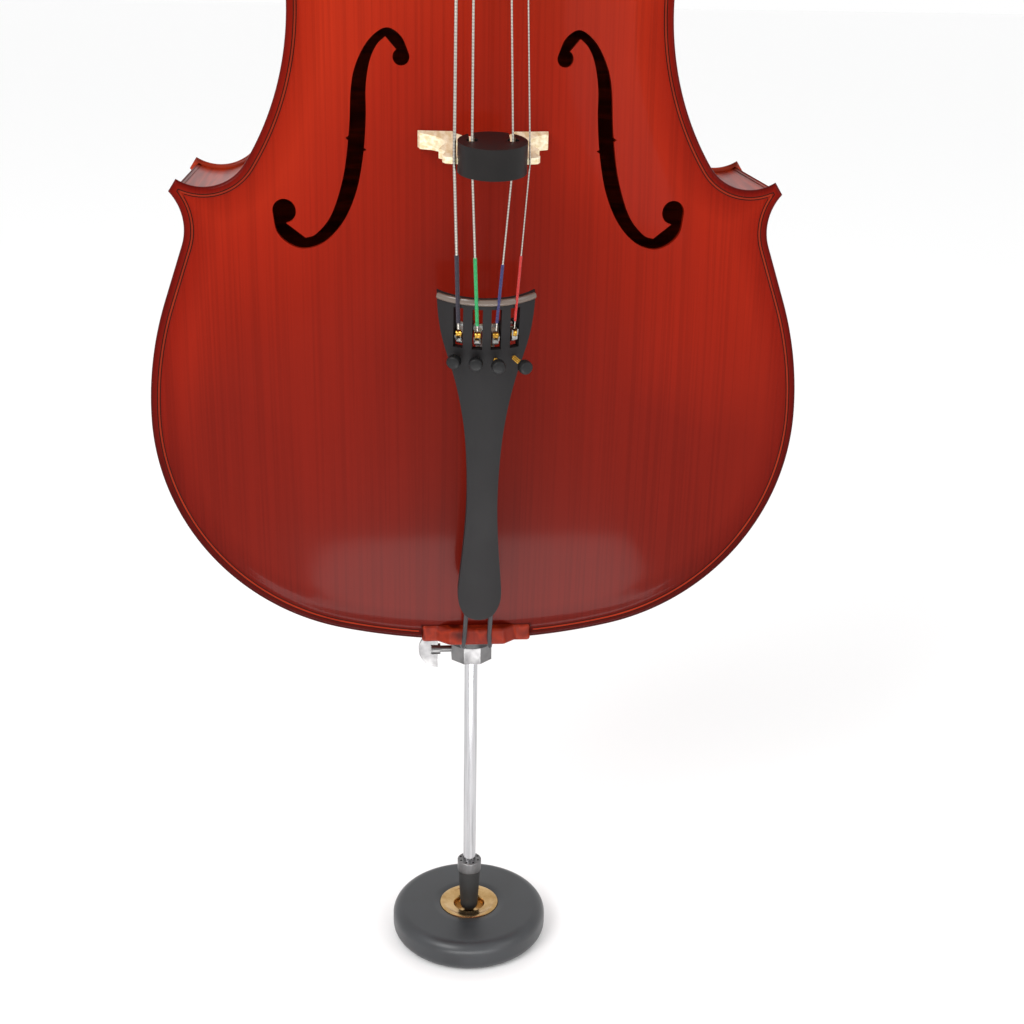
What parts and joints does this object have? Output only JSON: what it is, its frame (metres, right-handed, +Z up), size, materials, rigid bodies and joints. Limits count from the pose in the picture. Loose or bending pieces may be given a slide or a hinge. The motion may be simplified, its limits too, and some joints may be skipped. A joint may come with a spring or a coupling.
{
  "type": "cello",
  "caption": "Full-size cello with carved plates, f-holes, bridge, strings, fine tuners and a sliding endpin in a floor rest; a round mute on the bridge.",
  "frame": {"origin": "centre of the floor rest's underside, on the endpin's axis", "axes": "+Z up the body towards the scroll, the strings on the -Y side, +X to the right of someone facing the front, the high string's side"},
  "size_m": [0.44, 0.275, 1.534],
  "materials": {
    "varnished_spruce": "glossy red-brown varnish over spruce",
    "varnished_maple": "glossy red-brown varnish over maple",
    "dark_purfling": "dyed inlay under varnish",
    "raw_spruce": "bare wood",
    "ebony": "satin",
    "wound_steel": "polished flat-wound",
    "bare_maple": "satin, unvarnished",
    "black_rubber": "matte",
    "dark_composite": "matte",
    "tuner_steel": "dark",
    "tuner_brass": "bright",
    "black_knob": "satin",
    "tailgut_cord": "braided look",
    "black_plug": "satin",
    "chromed_steel": "polished",
    "polished_steel": "polished",
    "rest_rubber": "satin",
    "cup_brass": "satin"
  },
  "bodies": {
    "cello": {"front_plate": "varnished_spruce", "back_plate": "varnished_maple", "front_purfling": "dark_purfling", "back_purfling": "dark_purfling", "rib_upper_left": "varnished_maple", "rib_upper_right": "varnished_maple", "rib_waist_left": "varnished_maple", "rib_waist_right": "varnished_maple", "rib_lower_left": "varnished_maple", "rib_lower_right": "varnished_maple", "linings_front": "raw_spruce", "linings_back": "raw_spruce", "corner_blocks": "raw_spruce", "upper_block": "raw_spruce", "lower_block": "raw_spruce", "bass_bar": "raw_spruce", "sound_post": "raw_spruce", "neck": "varnished_maple", "fingerboard": "ebony", "nut": "ebony", "string_c": "wound_steel", "string_g": "wound_steel", "string_d": "wound_steel", "string_a": "wound_steel", "bridge": "bare_maple", "tailpiece": "dark_composite", "tuner_pins": "tuner_steel", "tailgut": "tailgut_cord", "saddle": "varnished_maple", "endpin_plug": "black_plug", "endpin_collar": "chromed_steel"},
    "peg_c_turning": {"peg_c": "ebony", "winding_c": "wound_steel"},
    "peg_g_turning": {"peg_g": "ebony", "winding_g": "wound_steel"},
    "peg_d_turning": {"peg_d": "ebony", "winding_d": "wound_steel"},
    "peg_a_turning": {"peg_a": "ebony", "winding_a": "wound_steel"},
    "tuner_c_shank": {"tuner_screw_c": "tuner_brass"},
    "tuner_c_head": {"tuner_knob_c": "black_knob"},
    "tuner_c_lever": {"tuner_lever_c": "tuner_steel"},
    "tuner_g_shank": {"tuner_screw_g": "tuner_brass"},
    "tuner_g_head": {"tuner_knob_g": "black_knob"},
    "tuner_g_lever": {"tuner_lever_g": "tuner_steel"},
    "tuner_d_shank": {"tuner_screw_d": "tuner_brass"},
    "tuner_d_head": {"tuner_knob_d": "black_knob"},
    "tuner_d_lever": {"tuner_lever_d": "tuner_steel"},
    "tuner_a_shank": {"tuner_screw_a": "tuner_brass"},
    "tuner_a_head": {"tuner_knob_a": "black_knob"},
    "tuner_a_lever": {"tuner_lever_a": "tuner_steel"},
    "mute_piece": {"mute": "black_rubber"},
    "endpin": {"endpin_rod": "polished_steel", "endpin_ferrule": "chromed_steel", "rubber_tip": "black_rubber"},
    "floor_rest": {"floor_rest_disc": "rest_rubber", "floor_rest_cup": "cup_brass"},
    "thumbscrew_stem": {"thumbscrew_shank": "chromed_steel"},
    "thumbscrew_grip": {"thumbscrew_wing": "chromed_steel"}
  },
  "joints": [
    {"name": "peg_c_turn", "type": "hinge", "parent": "cello", "child": "peg_c_turning", "pos_m": [0, -0.0105, 1.352], "axis": [1, 0, 0], "continuous": true},
    {"name": "peg_g_turn", "type": "hinge", "parent": "cello", "child": "peg_g_turning", "pos_m": [0, 0.01388, 1.416], "axis": [1, 0, 0], "continuous": true},
    {"name": "peg_d_turn", "type": "hinge", "parent": "cello", "child": "peg_d_turning", "pos_m": [0, 0.02531, 1.446], "axis": [1, 0, 0], "continuous": true},
    {"name": "peg_a_turn", "type": "hinge", "parent": "cello", "child": "peg_a_turning", "pos_m": [0, 0.00093, 1.382], "axis": [1, 0, 0], "continuous": true},
    {"name": "tuner_c_travel", "type": "slide", "parent": "cello", "child": "tuner_c_shank", "axis": [0.4067, 0.8936, 0.1899], "range_m": [-0.0095, 0.001]},
    {"name": "tuner_c_knob", "type": "hinge", "parent": "tuner_c_shank", "child": "tuner_c_head", "pos_m": [-0.01871, -0.13224, 0.51168], "axis": [0.4067, 0.8936, 0.1899], "range_deg": [-6841, 721]},
    {"name": "tuner_c_tilt", "type": "hinge", "parent": "cello", "child": "tuner_c_lever", "pos_m": [-0.01379, -0.12517, 0.53159], "axis": [0.9135, -0.3978, -0.0846], "range_deg": [-30.25, 3.19]},
    {"name": "tuner_g_travel", "type": "slide", "parent": "cello", "child": "tuner_g_shank", "axis": [0.1357, 0.9691, 0.206], "range_m": [-0.01, 0.0005]},
    {"name": "tuner_g_knob", "type": "hinge", "parent": "tuner_g_shank", "child": "tuner_g_head", "pos_m": [-0.00617, -0.13523, 0.51105], "axis": [0.1357, 0.9691, 0.206], "range_deg": [-7201, 361]},
    {"name": "tuner_g_tilt", "type": "hinge", "parent": "cello", "child": "tuner_g_lever", "pos_m": [-0.0046, -0.12773, 0.53104], "axis": [0.9907, -0.1327, -0.0282], "range_deg": [-31.84, 1.6]},
    {"name": "tuner_d_travel", "type": "slide", "parent": "cello", "child": "tuner_d_shank", "axis": [-0.1357, 0.9691, 0.206], "range_m": [-0.0065, 0.004]},
    {"name": "tuner_d_knob", "type": "hinge", "parent": "tuner_d_shank", "child": "tuner_d_head", "pos_m": [0.00665, -0.13862, 0.51033], "axis": [-0.1357, 0.9691, 0.206], "range_deg": [-4681, 2881]},
    {"name": "tuner_d_tilt", "type": "hinge", "parent": "cello", "child": "tuner_d_lever", "pos_m": [0.0046, -0.12773, 0.53104], "axis": [0.9907, 0.1327, 0.0282], "range_deg": [-20.7, 12.74]},
    {"name": "tuner_a_travel", "type": "slide", "parent": "cello", "child": "tuner_a_shank", "axis": [-0.4067, 0.8936, 0.1899], "range_m": [-0.001, 0.0095]},
    {"name": "tuner_a_knob", "type": "hinge", "parent": "tuner_a_shank", "child": "tuner_a_head", "pos_m": [0.02217, -0.13983, 0.51007], "axis": [-0.4067, 0.8936, 0.1899], "range_deg": [-721, 6841]},
    {"name": "tuner_a_tilt", "type": "hinge", "parent": "cello", "child": "tuner_a_lever", "pos_m": [0.01379, -0.12517, 0.53159], "axis": [0.9135, 0.3978, 0.0846], "range_deg": [-3.19, 30.25]},
    {"name": "mute_lift", "type": "slide", "parent": "cello", "child": "mute_piece", "axis": [0, -1, 0], "range_m": [0, 0.045]},
    {"name": "endpin_slide", "type": "slide", "parent": "cello", "child": "endpin", "axis": [0, 0, 1], "range_m": [-0.06, 0.17]},
    {"name": "floor_rest_tilt", "type": "hinge", "parent": "endpin", "child": "floor_rest", "pos_m": [0, 0, 0.0238], "axis": [1, 0, 0], "range_deg": [-12, 12]},
    {"name": "thumbscrew_travel", "type": "slide", "parent": "cello", "child": "thumbscrew_stem", "axis": [1, 0, 0], "range_m": [-0.0024, 0]},
    {"name": "thumbscrew_turn", "type": "hinge", "parent": "thumbscrew_stem", "child": "thumbscrew_grip", "pos_m": [-0.0256, 0, 0.2515], "axis": [1, 0, 0], "range_deg": [-1080, 0]}
  ],
  "couplings": [
    {"joint": "tuner_c_knob", "follows": "tuner_c_travel", "rad_per_m": 12566},
    {"joint": "tuner_c_tilt", "follows": "tuner_c_travel", "rad_per_m": 55.556},
    {"joint": "tuner_g_knob", "follows": "tuner_g_travel", "rad_per_m": 12566},
    {"joint": "tuner_g_tilt", "follows": "tuner_g_travel", "rad_per_m": 55.556},
    {"joint": "tuner_d_knob", "follows": "tuner_d_travel", "rad_per_m": 12566},
    {"joint": "tuner_d_tilt", "follows": "tuner_d_travel", "rad_per_m": 55.556},
    {"joint": "tuner_a_knob", "follows": "tuner_a_travel", "rad_per_m": 12566},
    {"joint": "tuner_a_tilt", "follows": "tuner_a_travel", "rad_per_m": 55.556},
    {"joint": "thumbscrew_travel", "follows": "thumbscrew_turn", "m_per_rad": 0.00012732}
  ]
}
